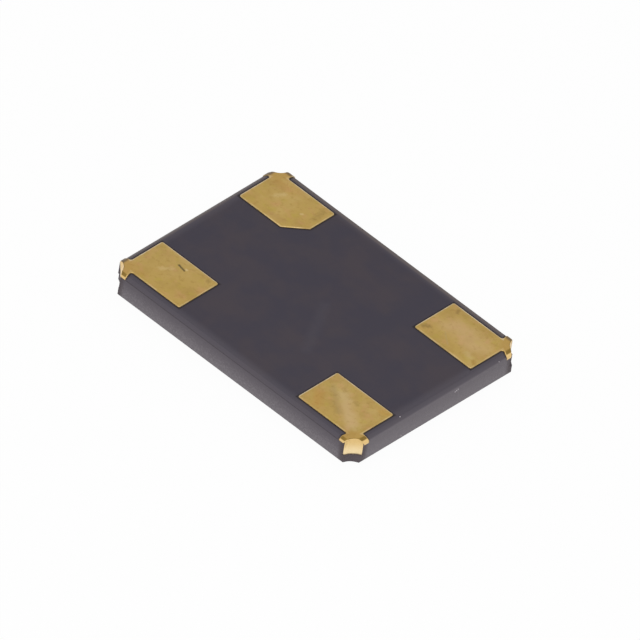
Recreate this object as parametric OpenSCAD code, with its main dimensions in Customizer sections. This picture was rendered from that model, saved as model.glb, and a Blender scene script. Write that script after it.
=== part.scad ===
// Crystal oscillator in a leadless ceramic package, lying on its lid with the solder terminals up.
// +X runs along the length, +Z points up through the terminals.
// The origin is the centre of the lid's outer face.

/* [Package] */
// Length of the ceramic body
package_l = 7.0; // [6.8:0.1:8.0]
// Width of the ceramic body
package_w = 5.0; // [4.8:0.1:6.0]

/* [Ceramic layers] */
// Base layer, which carries the solder terminals
base_t = 0.17; // [0.12:0.01:0.3]
// Shelf layer, which holds the chip pocket
shelf_t = 0.12; // [0.12:0.01:0.25]
// Ledge layer, which carries the quartz blank
ledge_t = 0.10; // [0.08:0.01:0.2]
// Frame layer, on which the seal ring is brazed
frame_t = 0.18; // [0.12:0.01:0.3]

/* [Scored edges] */
// Width of the break bevel along the long sides
long_score_w = 0.07; // [0.03:0.01:0.1]
// Height of the break bevel along the long sides
long_score_h = 0.07; // [0.03:0.01:0.1]
// Width of the break bevel along the short sides
short_score_w = 0.11; // [0.03:0.01:0.12]
// Height of the break bevel along the short sides
short_score_h = 0.09; // [0.03:0.01:0.12]

/* [Corner notches] */
// Radius of the plated corner notches
notch_r = 0.32; // [0.25:0.01:0.36]
// Radius of the shallow bare notches in the frame layer
bare_notch_r = 0.36; // [0.34:0.02:1.0]
// How much less a bare notch reaches along each side than a plated one
bare_step = 0.04; // [0.04:0.01:0.1]
// Width of the plated ring around each notch
ear_w = 0.15; // [0.1:0.01:0.18]

/* [Solder terminals] */
// Length of a terminal
pad_l = 1.62; // [1.2:0.01:1.8]
// Width of a terminal
pad_w = 1.17; // [0.8:0.01:1.4]
// Bare strip between a terminal and the short side
pad_margin_x = 0.18; // [0.14:0.01:0.22]
// Bare strip between a terminal and the long side
pad_margin_y = 0.20; // [0.14:0.01:0.24]
// Thickness of the terminal metal
pad_t = 0.02; // [0.01:0.005:0.04]
// Cut corner that marks terminal 1
pad_1_cut = 0.43; // [0.2:0.01:0.5]
// Corner radius of a terminal
pad_corner_r = 0.05; // [0.02:0.005:0.06]

/* [Seal] */
// Step from the ceramic side in to the seal ring
ring_inset = 0.40; // [0.36:0.01:0.6]
// Width of the seal ring
ring_w = 0.35; // [0.25:0.01:0.45]
// Height of the seal ring
ring_h = 0.21; // [0.15:0.01:0.35]
// Outer corner radius of the seal ring
ring_r = 0.55; // [0.5:0.01:0.8]
// Thickness of the printed metal under the braze
seal_metal_t = 0.01; // [0.005:0.005:0.02]
// Thickness of the braze under the ring
braze_t = 0.02; // [0.01:0.005:0.04]
// Thickness of the lid
lid_t = 0.08; // [0.06:0.01:0.15]
// Step from the ring's edge in to the lid's edge
lid_inset = 0.06; // [0.02:0.01:0.1]

/* [Cavity] */
// Ceramic lip inside the seal ring
seal_lip = 0.10; // [0.05:0.01:0.15]
// Corner radius of the cavity
cavity_r = 0.25; // [0.15:0.01:0.4]
// Length of the ledge that carries the blank
ledge_l = 0.62; // [0.55:0.01:0.8]
// Gap between the chip and its pocket
pocket_gap = 0.20; // [0.15:0.01:0.25]
// Corner radius of the chip pocket
pocket_r = 0.15; // [0.1:0.01:0.2]

/* [Oscillator chip] */
// Length of the chip
chip_l = 1.2; // [1.0:0.05:1.4]
// Width of the chip
chip_w = 1.0; // [0.8:0.05:1.1]
// Thickness of the chip
chip_t = 0.10; // [0.08:0.01:0.14]
// Place of the chip's centre along the length
chip_x = 0.75; // [0.6:0.05:1.0]
// Thickness of the adhesive under the chip
die_attach_t = 0.012; // [0.008:0.002:0.02]
// Length and width of the chip's metal pad beyond the chip
die_pad_edge = 0.08; // [0.04:0.01:0.12]

/* [Inner leads] */
// Thickness of the printed metal
print_t = 0.01; // [0.005:0.005:0.02]
// Width of a printed line
line_w = 0.15; // [0.1:0.01:0.2]
// Diameter of a filled via
via_d = 0.10; // [0.06:0.01:0.12]
// Length of a bond finger
finger_l = 0.34; // [0.25:0.01:0.4]
// Gap between the chip pocket and the bond fingers
finger_gap = 0.05; // [0.03:0.01:0.1]
// Spacing of the bond fingers
finger_pitch = 0.42; // [0.3:0.01:0.45]

/* [Bond wires] */
// Diameter of a bond wire
wire_d = 0.025; // [0.02:0.005:0.03]
// Height of a wire's loop
wire_loop = 0.05; // [0.04:0.005:0.06]
// Diameter of the bonded ball
ball_d = 0.08; // [0.07:0.005:0.09]
// Height of the bonded ball
ball_h = 0.026; // [0.026:0.002:0.03]
// Distance from the chip's edge to the ball's centre
ball_edge = 0.09; // [0.07:0.01:0.15]

/* [Quartz blank] */
// Length of the blank
blank_l = 3.4; // [3.0:0.1:3.8]
// Width of the blank
blank_w = 1.9; // [1.6:0.1:2.2]
// Thickness of the blank
blank_t = 0.07; // [0.05:0.01:0.09]
// Gap between the blank's mounted end and the cavity wall
blank_end_gap = 0.12; // [0.08:0.01:0.2]
// Length of the electrodes
electrode_l = 2.0; // [1.6:0.1:2.2]
// Width of the electrodes
electrode_w = 1.3; // [1.0:0.1:1.5]
// Thickness of the electrode film
electrode_t = 0.005; // [0.004:0.001:0.01]
// Length and width of the contact tab at each mounted corner
tab = 0.45; // [0.4:0.01:0.5]
// Width of the film that joins an electrode to its tab
link_w = 0.25; // [0.15:0.01:0.35]
// Diameter of an adhesive dot
dot_d = 0.36; // [0.25:0.01:0.38]
// Thickness of an adhesive dot
dot_t = 0.025; // [0.02:0.005:0.04]

/* [Hidden] */
$fn = 96;
// A cut runs this far past the face that it opens
over = 0.2;

// Levels from the lid up
ring_z = lid_t;
braze_z = ring_z + ring_h;
seal_metal_z = braze_z + braze_t;
frame_z = seal_metal_z + seal_metal_t;
ledge_z = frame_z + frame_t;
shelf_z = ledge_z + ledge_t;
base_z = shelf_z + shelf_t;
top_z = base_z + base_t;

// Plan sizes
bare_reach = notch_r - bare_step;
// The axis of a bare notch stands this far out past both sides
bare_axis = sqrt(bare_notch_r * bare_notch_r / 2 - bare_reach * bare_reach / 4) - bare_reach / 2;
ear_r = notch_r + ear_w;
ring_l = package_l - 2 * ring_inset;
ring_wide = package_w - 2 * ring_inset;
cavity_l = ring_l - 2 * (ring_w + seal_lip);
cavity_w = ring_wide - 2 * (ring_w + seal_lip);
pocket_l = chip_l + 2 * pocket_gap;
pocket_w = chip_w + 2 * pocket_gap;

// Chip, from the pocket's face down
attach_z = base_z - print_t - die_attach_t;
chip_z = attach_z - chip_t;
finger_z = shelf_z - print_t;
finger_y = pocket_w / 2 + finger_gap + finger_l / 2;
ball_y = chip_w / 2 - ball_edge;

// Blank, from the ledge down
blank_x = -cavity_l / 2 + blank_end_gap;
mount_z = ledge_z - print_t;
upper_film_z = mount_z - dot_t - electrode_t;
blank_z = upper_film_z - blank_t;
mount_x = blank_x + tab / 2;
mount_y = blank_w / 2 - tab / 2;

// Signs of the four corners, in the order of the terminals
CORNERS = [[-1, 1], [1, 1], [1, -1], [-1, -1]];
// Place of each bond finger: column from the chip's centre, and side
FINGERS = [[0, 1], [1, 1], [1, -1], [0, -1], [-1, 1], [-1, -1]];

// Place of a bond finger's centre
function finger_at(i) = [chip_x + FINGERS[i][0] * finger_pitch, FINGERS[i][1] * finger_y];
// Place of a crystal lead's mounting pad
function mount_at(i) = [mount_x, FINGERS[i][1] * mount_y];
// Place of a corner of the package
function corner_at(i) = [CORNERS[i][0] * package_l / 2, CORNERS[i][1] * package_w / 2];

// Hangs its children from a level, so that what meets there shares one exact face
module under(z) {
    translate([0, 0, z]) mirror([0, 0, 1]) children();
}

// A plate with round corners
module round_plate(l, w, t, r) {
    linear_extrude(t) {
        square([l - 2 * r, w], center = true);
        square([l, w - 2 * r], center = true);
        for (x = [-1, 1], y = [-1, 1])
            translate([x * (l / 2 - r), y * (w / 2 - r)]) circle(r);
    }
}

// A plate with a window, one width all round
module round_frame(l, w, t, r, wall) {
    difference() {
        round_plate(l, w, t, r);
        translate([0, 0, -over])
            round_plate(l - 2 * wall, w - 2 * wall, t + 2 * over, r - wall);
    }
}

// A flat line with round ends from p to q
module line(p, q, w, t) {
    run = q - p;
    translate([p[0], p[1], 0]) rotate(atan2(run[1], run[0])) translate([0, -w / 2, 0])
        cube([norm(run), w, t]);
    for (end = [p, q]) translate([end[0], end[1], 0]) cylinder(d = w, h = t);
}

// Half section of the body, with its break bevel: skin is what the metal adds to the top and the bevel
module break_section(half, bw, bh, skin) {
    slope = norm([bw, bh]);
    side_z = top_z - bh + skin * slope / bw;
    edge_x = half - bw + skin * (slope - bw) / bh;
    polygon([[-half, frame_z], [half, frame_z], [half, side_z], [edge_x, top_z + skin],
        [-edge_x, top_z + skin], [-half, side_z]]);
}

// Outside of the ceramic without its notches
module broken_block(skin) {
    intersection() {
        rotate([90, 0, 0]) linear_extrude(package_w + 2 * over, center = true)
            break_section(package_l / 2, short_score_w, short_score_h, skin);
        rotate([90, 0, 90]) linear_extrude(package_l + 2 * over, center = true)
            break_section(package_w / 2, long_score_w, long_score_h, skin);
    }
}

// The four plated notches, which stop at the frame layer
module plated_notches(r) {
    for (i = [0:3]) translate(concat(corner_at(i), ledge_z)) cylinder(r = r, h = top_z);
}

// The four bare notches in the frame layer
module bare_notches() {
    for (i = [0:3]) translate(concat(corner_at(i) + bare_axis * CORNERS[i], 0))
        cylinder(r = bare_notch_r, h = ledge_z + over);
}

// Outline of a terminal and of the ring around its notch
module terminal_outline(i) {
    s = CORNERS[i];
    x0 = package_l / 2 - pad_margin_x;
    y0 = package_w / 2 - pad_margin_y;
    x1 = x0 - pad_l;
    y1 = y0 - pad_w;
    r = pad_corner_r;
    scale([s[0], s[1]]) {
        difference() {
            union() {
                translate([x1 + r, y1]) square([pad_l - 2 * r, pad_w]);
                translate([x1, y1 + r]) square([pad_l, pad_w - 2 * r]);
                for (x = [x0 - r, x1 + r], y = [y0 - r, y1 + r]) translate([x, y]) circle(r);
            }
            if (i == 0) polygon([[x1 - r, y1 - r], [x1 + pad_1_cut, y1 - r], [x1 + pad_1_cut, y1],
                [x1, y1 + pad_1_cut], [x1 - r, y1 + pad_1_cut]]);
        }
        translate([package_l / 2, package_w / 2]) circle(ear_r);
    }
}

// Block with its notches: plated_r above the frame layer, and the shallow bare ones in it
module outer_body(skin, plated_r) {
    difference() {
        broken_block(skin);
        plated_notches(plated_r);
        bare_notches();
    }
}

// Solder terminal: pad, ring over the bevel and notch lining
module terminal(i) {
    color("#c2a35a") difference() {
        intersection() {
            translate([0, 0, ledge_z]) linear_extrude(top_z) terminal_outline(i);
            outer_body(pad_t, notch_r - pad_t);
        }
        outer_body(0, notch_r);
    }
}

// Bond finger on the shelf
module finger(i) {
    at = finger_at(i);
    under(shelf_z) translate([at[0] - line_w / 2, at[1] - finger_l / 2, 0])
        cube([line_w, finger_l, print_t]);
}

// Buried run of an inner lead: via through the shelf layer and line out through the corner notch
module inner_run(i) {
    at = finger_at(i);
    under(base_z) {
        translate([at[0], at[1], print_t / 2]) cylinder(d = via_d, h = shelf_t);
        line(at, corner_at(i), line_w, print_t);
        if (i == 1) line([chip_x, 0], at, line_w, print_t);
    }
}

// Inner lead: bond finger and run up to the notch, and on the second lead the metal pad under the chip
module inner_lead(i) {
    color("#8d8a80") difference() {
        union() {
            finger(i);
            inner_run(i);
            if (i == 1) under(base_z) translate([chip_x, 0, 0])
                round_plate(chip_l + 2 * die_pad_edge, chip_w + 2 * die_pad_edge, print_t, pocket_r);
        }
        plated_notches(notch_r);
    }
}

// Buried run of a crystal lead: line under the ledge layer and via through it
module crystal_run(i) {
    under(shelf_z) {
        line(finger_at(i), mount_at(i), line_w, print_t);
        translate(concat(mount_at(i), print_t / 2)) cylinder(d = via_d, h = ledge_t);
    }
}

// Crystal lead: bond finger, buried run and mounting pad on the ledge
module crystal_lead(i) {
    color("#8d8a80") {
        finger(i);
        crystal_run(i);
        under(ledge_z) translate(concat(mount_at(i), 0)) translate([-tab / 2, -tab / 2, 0])
            cube([tab, tab, print_t]);
    }
}

// Hollow for the chip and the blank: one straight wall all round, a ledge at one end, and the pocket
module cavity() {
    under(shelf_z) difference() {
        round_plate(cavity_l, cavity_w, ledge_t + frame_t + over, cavity_r);
        translate([-cavity_l / 2 - over, -cavity_w / 2 - over, -over])
            cube([ledge_l + over, cavity_w + 2 * over, ledge_t + over]);
    }
    under(base_z) translate([chip_x, 0, 0]) round_plate(pocket_l, pocket_w, shelf_t + over, pocket_r);
}

// Co-fired ceramic body: one piece, with its stepped cavity open towards the lid
module ceramic_body() {
    color("#474349") difference() {
        outer_body(0, notch_r);
        cavity();
        for (i = [0:3]) inner_run(i);
        for (i = [4:5]) crystal_run(i);
    }
}

// Printed metal frame that the braze wets
module seal_metallization() {
    color("#9a958a") translate([0, 0, seal_metal_z])
        round_frame(ring_l, ring_wide, seal_metal_t, ring_r, ring_w);
}

// Silver-copper braze between the metal frame and the ring
module ring_braze() {
    color("#c9c3b4") translate([0, 0, braze_z]) round_frame(ring_l, ring_wide, braze_t, ring_r, ring_w);
}

// Seal ring, onto which the lid is welded
module seal_ring() {
    color("#b9b39f") translate([0, 0, ring_z]) round_frame(ring_l, ring_wide, ring_h, ring_r, ring_w);
}

// Flat lid
module lid() {
    color("#c6c4bd")
        round_plate(ring_l - 2 * lid_inset, ring_wide - 2 * lid_inset, lid_t, ring_r - lid_inset);
}

// Adhesive between the chip and its metal pad
module die_attach() {
    color("#a8a8a4") translate([chip_x - chip_l / 2, -chip_w / 2, attach_z])
        cube([chip_l, chip_w, die_attach_t]);
}

// Silicon chip with the oscillator circuit, its face towards the lid
module oscillator_chip() {
    color("#5d6470") translate([chip_x - chip_l / 2, -chip_w / 2, chip_z]) cube([chip_l, chip_w, chip_t]);
}

// Gold wire from the chip to a bond finger: bonded ball, arched wire and flattened foot
module bond_wire(i) {
    at = finger_at(i);
    side = FINGERS[i][1];
    ball_z = chip_z - ball_h / 2;
    foot_z = finger_z - ball_h / 2;
    span = norm([finger_y - ball_y, foot_z - ball_z]);
    arc_r = (span * span / 4 + wire_loop * wire_loop) / (2 * wire_loop);
    half_turn = asin(span / 2 / arc_r);
    slope = atan2(foot_z - ball_z, finger_y - ball_y);
    color("#d9b45c") {
        translate([at[0], side * ball_y, chip_z - ball_h]) cylinder(d = ball_d, h = ball_h);
        translate([at[0], at[1], finger_z - ball_h]) cylinder(d = ball_d, h = ball_h);
        translate([at[0], 0, 0]) mirror([0, side < 0 ? 1 : 0, 0]) translate([0, ball_y, ball_z])
            rotate([slope, 0, 0]) translate([0, span / 2, arc_r - wire_loop])
            rotate([0, 90, 0]) rotate([0, 0, -half_turn]) rotate_extrude(angle = 2 * half_turn)
            translate([arc_r, 0]) circle(d = wire_d);
    }
}

// Quartz blank, held at one end
module quartz_blank() {
    color("#dfe3e6") translate([blank_x, -blank_w / 2, blank_z]) cube([blank_l, blank_w, blank_t]);
}

// Electrode film on one face of the blank, with the link to the tab on the given side
module electrode_film(z, side) {
    middle = blank_x + blank_l / 2 + tab / 4;
    link_x = blank_x + tab - link_w;
    link_y = electrode_w / 2 - link_w;
    translate([middle - electrode_l / 2, -electrode_w / 2, z]) cube([electrode_l, electrode_w, electrode_t]);
    mirror([0, side < 0 ? 1 : 0, 0]) translate([link_x, link_y, z]) {
        cube([middle - link_x, link_w, electrode_t]);
        cube([link_w, mount_y - link_y, electrode_t]);
    }
    mount_tab(z, side);
}

// Contact tab at a mounted corner
module mount_tab(z, side) {
    translate([blank_x, side * mount_y - tab / 2, z]) cube([tab, tab, electrode_t]);
}

// Electrode on the face towards the ledge
module upper_electrode() {
    color("#d8c27a") electrode_film(upper_film_z, 1);
}

// Electrode on the face towards the lid, folded round the blank's end to its own tab
module lower_electrode() {
    color("#d8c27a") {
        electrode_film(blank_z - electrode_t, -1);
        translate([blank_x - electrode_t, -mount_y - tab / 2, blank_z - electrode_t])
            cube([electrode_t, tab, blank_t + 2 * electrode_t]);
        mount_tab(upper_film_z, -1);
    }
}

// Dot of conductive adhesive between a mounting pad and the blank
module mount_adhesive(side) {
    color("#b4b2ab") translate([mount_x, side * mount_y, mount_z - dot_t]) cylinder(d = dot_d, h = dot_t);
}

ceramic_body();
terminal(0);  // terminal_1
terminal(1);  // terminal_2
terminal(2);  // terminal_3
terminal(3);  // terminal_4
inner_lead(0);  // inner_lead_1
inner_lead(1);  // inner_lead_2
inner_lead(2);  // inner_lead_3
inner_lead(3);  // inner_lead_4
crystal_lead(4);  // crystal_lead_1
crystal_lead(5);  // crystal_lead_2
seal_metallization();
ring_braze();
seal_ring();
lid();
die_attach();
oscillator_chip();
bond_wire(0);  // bond_wire_1
bond_wire(1);  // bond_wire_2
bond_wire(2);  // bond_wire_3
bond_wire(3);  // bond_wire_4
bond_wire(4);  // bond_wire_5
bond_wire(5);  // bond_wire_6
quartz_blank();
upper_electrode();
lower_electrode();
mount_adhesive(1);  // mount_adhesive_1
mount_adhesive(-1);  // mount_adhesive_2
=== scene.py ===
# %% [markdown]
# # A crystal oscillator in a leadless ceramic package
#
# The real part is a flat box of black ceramic, seven millimetres long. Four gold solder
# terminals sit on its face, each with a plated notch at a corner. It lies on its metal
# lid, as it would on a bench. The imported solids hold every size. This lesson dresses
# them: it rebuilds what the eye reads closely and gives every piece its finish.

# %% Load the frame
import math

import bmesh
import bpy
from mathutils import Matrix, Vector, noise


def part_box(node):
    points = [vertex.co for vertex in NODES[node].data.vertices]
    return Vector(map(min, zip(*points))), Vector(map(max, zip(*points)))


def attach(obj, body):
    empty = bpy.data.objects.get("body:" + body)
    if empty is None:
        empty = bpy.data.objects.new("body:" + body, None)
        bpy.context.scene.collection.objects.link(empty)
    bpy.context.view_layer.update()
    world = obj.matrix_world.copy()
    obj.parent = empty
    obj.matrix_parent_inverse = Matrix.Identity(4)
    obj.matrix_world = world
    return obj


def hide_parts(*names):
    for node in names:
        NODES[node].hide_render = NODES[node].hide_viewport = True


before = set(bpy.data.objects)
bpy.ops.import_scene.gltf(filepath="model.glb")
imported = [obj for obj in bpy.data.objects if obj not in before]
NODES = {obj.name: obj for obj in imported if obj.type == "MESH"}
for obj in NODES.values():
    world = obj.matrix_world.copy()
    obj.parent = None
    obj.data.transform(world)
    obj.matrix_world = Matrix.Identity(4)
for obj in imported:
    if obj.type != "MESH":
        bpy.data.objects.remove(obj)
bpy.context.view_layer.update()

# %% [markdown]
# Blender works in metres and this part in fractions of a millimetre, so one named unit
# keeps the numbers readable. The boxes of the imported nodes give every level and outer
# size. Only what a box can't tell, such as a bevel or a notch, is named here. A bevel is
# its width on the face and its depth. The scoring lines seldom run right through the
# holes' centres, so each corner has its own centre for its plated notch, and its own
# centre and radius for the bare notch below it. A centre is the distance in from the short
# side and from the long side, below 0 where it lies outside. A corner is named by its
# terminal and has the signs of x and y there.

# %% Sizes and levels
MM = 0.001


def box(node):
    """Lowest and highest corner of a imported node, in millimetres."""
    low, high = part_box(node)
    return low / MM, high / MM


body_low, body_high = box("ceramic_body")
pad_low, pad_high = box("terminal_2")
HALF_L, HALF_W, TOP_Z = body_high
FRAME_Z = body_low.z
PAD_X, PAD_Y, LEDGE_Z = pad_low
SKIN = pad_high.z - TOP_Z

SHORT_BEVEL = (0.11, 0.09)
LONG_BEVEL = (0.07, 0.07)
FACE_X, FACE_Y = HALF_L - SHORT_BEVEL[0], HALF_W - LONG_BEVEL[0]
NOTCH_R, EAR_W = 0.32, 0.15
EAR_R = NOTCH_R + EAR_W
CUSP_R = 0.03
MARGIN_X, MARGIN_Y = 0.18, 0.20
CUT_1 = 0.43
PAD_ROUND = 0.05
CORNERS = {"terminal_1": (-1, 1), "terminal_2": (1, 1),
           "terminal_3": (1, -1), "terminal_4": (-1, -1)}
PLATED_CENTRE = {"terminal_1": (0.0, 0.0), "terminal_2": (-0.035, 0.0),
                 "terminal_3": (-0.06, 0.01), "terminal_4": (0.0, -0.01)}
BARE_CENTRE = {"terminal_1": (-0.26, -0.26), "terminal_2": (-0.30, -0.26),
               "terminal_3": (-0.13, -0.075), "terminal_4": (-0.25, -0.19)}
BARE_R = {"terminal_1": 0.60, "terminal_2": 0.60, "terminal_3": 0.36, "terminal_4": 0.60}
print(f"ceramic {2 * HALF_L:.2f} x {2 * HALF_W:.2f} mm, from {FRAME_Z:.2f} to {TOP_Z:.2f} mm up")

# %% [markdown]
# A part this small is best seen from far away with a long lens, so that its parallel
# edges stay parallel. An orthographic camera does the same. It looks down on one corner,
# slightly rolled, and is aimed a little beside the middle of the part.

# %% Camera
AZIMUTH, ELEVATION, ROLL = (math.radians(v) for v in (37.88, 41.5, 9.52))
VIEW_WIDTH = 13.046
AIM_RIGHT, AIM_UP, AIM_LEVEL = 0.139, 0.096, 0.36
CAMERA_DISTANCE = 60


def put(name, data):
    """A new object, linked into the scene."""
    item = bpy.data.objects.new(name, data)
    bpy.context.scene.collection.objects.link(item)
    return item


toward = Vector((math.cos(ELEVATION) * math.sin(AZIMUTH), -math.cos(ELEVATION) * math.cos(AZIMUTH),
                 math.sin(ELEVATION)))
level_right = Vector((math.cos(AZIMUTH), math.sin(AZIMUTH), 0))
level_up = toward.cross(level_right)
right = level_right * math.cos(ROLL) + level_up * math.sin(ROLL)
up = level_up * math.cos(ROLL) - level_right * math.sin(ROLL)
aim = Vector((0, 0, AIM_LEVEL)) + right * AIM_RIGHT + up * AIM_UP

camera_data = bpy.data.cameras.new("camera")
camera_data.type = "ORTHO"
camera_data.ortho_scale = VIEW_WIDTH * MM
camera_data.clip_start, camera_data.clip_end = MM, 1.0
camera = put("camera", camera_data)
camera.matrix_world = (Matrix.Translation((aim + toward * CAMERA_DISTANCE) * MM)
                       @ Matrix((right, up, toward)).transposed().to_4x4())
bpy.context.scene.camera = camera
bpy.context.scene.view_settings.view_transform = "Standard"
print("camera looks down at", round(math.degrees(ELEVATION), 1), "degrees")

# %% [markdown]
# Materials are node trees. They read like formulas once every output of a node is wrapped
# in a small class, on which plus, minus and times add the maths nodes.

# %% Values that flow through a tree
def is_vector(value):
    """Whether a value is a vector, be it a constant or one that flows."""
    return isinstance(value, tuple) or isinstance(value, Flow) and value.socket.type == "VECTOR"


class Flow:
    """A value that flows through a node tree. Reckoning with it adds maths nodes."""

    def __init__(self, socket):
        self.socket, self.tree = socket, socket.id_data

    def __add__(self, other):
        return maths("ADD", self, other)

    def __sub__(self, other):
        return maths("SUBTRACT", self, other)

    def __rsub__(self, other):
        return maths("SUBTRACT", other, self)

    def __mul__(self, other):
        by_number = is_vector(self) and not is_vector(other)
        return maths("SCALE" if by_number else "MULTIPLY", self, other)

    def __rtruediv__(self, other):
        return maths("DIVIDE", other, self)

    def __abs__(self):
        return maths("ABSOLUTE", self)


class Outlets:
    """The outputs of a node, each wrapped when it is picked by name or index."""

    def __init__(self, node):
        self.node = node

    def __getitem__(self, key):
        return Flow(self.node.outputs[key])


print("outputs of nodes can be reckoned with")

# %% [markdown]
# A few helpers then cover all trees: one adds a node with its inputs, and others blend two
# colours or step smoothly from one value to another. Colours are given as on a screen,
# so the last helper turns them into the linear light that shaders work in.

# %% Node helpers
def feed(socket, value):
    """Sets an input to a constant, or links it to a value that flows."""
    if isinstance(value, Flow):
        value.tree.links.new(value.socket, socket)
    else:
        socket.default_value = value


def add(tree, kind, inputs=(), **settings):
    """A new node. Inputs are set by name or index, and its outputs are picked the same way."""
    node = tree.nodes.new(kind)
    for name, value in settings.items():
        setattr(node, name, value)
    for name, value in dict(inputs).items():
        feed(node.inputs[name], value)
    return Outlets(node)


def maths(operation, a, b=None, clamp=False):
    """One maths node's result. The node works on vectors where one of its values is a vector."""
    tree = (a if isinstance(a, Flow) else b).tree
    second = "Scale" if operation == "SCALE" else 1
    inputs = {0: a} if b is None else {0: a, second: b}
    if is_vector(a) or is_vector(b):
        output = "Value" if operation in ("LENGTH", "DOT_PRODUCT") else "Vector"
        return add(tree, "ShaderNodeVectorMath", inputs, operation=operation)[output]
    return add(tree, "ShaderNodeMath", inputs, operation=operation, use_clamp=clamp)[0]


def xyz(vector):
    """X, Y and Z of a vector."""
    parts = add(vector.tree, "ShaderNodeSeparateXYZ", {0: vector})
    return parts[0], parts[1], parts[2]


def blend(factor, a, b):
    """Colour a where factor is 0 and colour b where it is 1."""
    return add(factor.tree, "ShaderNodeMix", {0: factor, 6: a, 7: b}, data_type="RGBA")[2]


def ramp(value, low, high, start=0.0, end=1.0):
    """A smooth step of value between low and high, from start to end."""
    return add(value.tree, "ShaderNodeMapRange", {0: value, 1: low, 2: high, 3: start, 4: end},
               interpolation_type="SMOOTHSTEP")[0]


def srgb(red, green, blue):
    """A screen colour from 0 to 255 as linear light."""
    def linear(value):
        value /= 255
        return value / 12.92 if value <= 0.04045 else ((value + 0.055) / 1.055) ** 2.4
    return (linear(red), linear(green), linear(blue), 1.0)


print("node helpers ready")

# %% [markdown]
# Three effects come back on nearly every surface. Clouds are soft patches, as on plating
# or fired ceramic. Grain is the fine tooth that a surface keeps from how it was made. A
# stroke is anything drawn from one point to another: a scratch, a smear or a stain. Each
# is a node group with one output, so every material shares it with its own values.

# %% Shared effects
def group(name, output, vectors=(), **numbers):
    """An empty node group with a place and more as inputs: its tree, its inputs and its end."""
    tree = bpy.data.node_groups.new(name, "ShaderNodeTree")
    for socket in ("Vector", *vectors):
        tree.interface.new_socket(name=socket, in_out="INPUT", socket_type="NodeSocketVector")
    for socket, default in numbers.items():
        made = tree.interface.new_socket(name=socket, in_out="INPUT", socket_type="NodeSocketFloat")
        made.default_value = default
    tree.interface.new_socket(name=output, in_out="OUTPUT", socket_type="NodeSocketFloat")
    return tree, Outlets(tree.nodes.new("NodeGroupInput")), tree.nodes.new("NodeGroupOutput").inputs[0]


def use(shared, place, **inputs):
    """What a shared group gives at a place."""
    return add(place.tree, "ShaderNodeGroup", {"Vector": place, **inputs}, node_tree=shared)[0]


clouds, given, result = group("clouds", "Mask", Size=1.0, Low=0.4, High=0.7)
soft = add(clouds, "ShaderNodeTexNoise", {"Vector": given["Vector"], "Scale": 1.0 / given["Size"],
                                          "Detail": 4.0, "Roughness": 0.55})
feed(result, ramp(soft[0], given["Low"], given["High"]))

grain, given, result = group("grain", "Height", Size=1.0)
coarse = add(grain, "ShaderNodeTexNoise", {"Vector": given["Vector"], "Scale": 1.0 / given["Size"],
                                           "Detail": 3.0, "Roughness": 0.7})
pits = add(grain, "ShaderNodeTexVoronoi", {"Vector": given["Vector"], "Scale": 0.8 / given["Size"]})
feed(result, coarse[0] * 0.7 + pits[0] * 0.3)

stroke, given, result = group("stroke", "Mask", ("Start", "End"), Width=1.0, Wobble=0.0)
shake = add(stroke, "ShaderNodeTexNoise", {"Vector": given["Vector"], "Scale": 1.5 / given["Width"],
                                           "Detail": 3.0})
shift = (shake[1] - (0.5, 0.5, 0.5)) * (given["Width"] * given["Wobble"])
here = given["Vector"] + shift - given["Start"]
line = given["End"] - given["Start"]
length_squared = maths("MAXIMUM", maths("DOT_PRODUCT", line, line), 1e-6)
along = maths("DIVIDE", maths("DOT_PRODUCT", here, line), length_squared, clamp=True)
feed(result, ramp(maths("LENGTH", here - line * along), 0.0, given["Width"], 1.0, 0.0))
print("shared effects:", [g.name for g in bpy.data.node_groups])

# %% [markdown]
# Every material starts the same way: a Principled shader, and the place on the object in
# millimetres, so that all patterns below are given at their real size. The place comes
# from the Object coordinates, which stay with the part however it is turned.

# %% Start of a material
def start_material(name, roughness, metallic=0.0, specular=0.5, **more):
    """A material, the inputs of its shader, and the place on the object in millimetres."""
    material = bpy.data.materials.new(name)
    material.use_nodes = True
    shader = material.node_tree.nodes["Principled BSDF"].inputs
    settings = {"Roughness": roughness, "Metallic": metallic, "Specular IOR Level": specular, **more}
    for socket, value in settings.items():
        shader[socket.replace("_", " ")].default_value = value
    place = add(material.node_tree, "ShaderNodeTexCoord")["Object"] * (1 / MM)
    return material, shader, place


def add_bump(shader, height, depth):
    """Relief of the given depth in millimetres."""
    bump = add(height.tree, "ShaderNodeBump", {"Height": height, "Distance": depth * MM, "Strength": 1.0})
    feed(shader["Normal"], bump[0])


def marks(colour, place, strokes):
    """Lays marks over a colour. Each is start, end, width, wobble, strength and the mark's colour."""
    for start, end, width, wobble, strength, tint in strokes:
        mask = use(stroke, place, Start=start, End=end, Width=width, Wobble=wobble)
        colour = blend(mask * strength, colour, srgb(*tint))
    return colour


def facing_up(place):
    """How far the surface faces up: 1 on the face, 0 on an upright side and -1 below."""
    return xyz(add(place.tree, "ShaderNodeTexCoord")["Normal"])[2]


print("materials start from a place in millimetres")

# %% [markdown]
# The studio is a white floor, an even white sky and one large soft lamp high in front.
# The floor answers the camera with plain white and only a trace of the shadow, and the
# gold sees the same white floor. The lamp stays at a level where colours look as written.

# %% Floor and light
SKY, LAMP = 0.62, 0.0125
FLOOR_SIZE = 2000
FLOOR_WHITE = 0.97


def camera_sees(tree):
    """1 where a ray comes from the camera, a mirror or clear glass, and 0 where it carries light."""
    path = add(tree, "ShaderNodeLightPath")
    seen = maths("MAXIMUM", path["Is Camera Ray"], path["Is Glossy Ray"])
    return maths("MAXIMUM", seen, path["Is Transmission Ray"])


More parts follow.
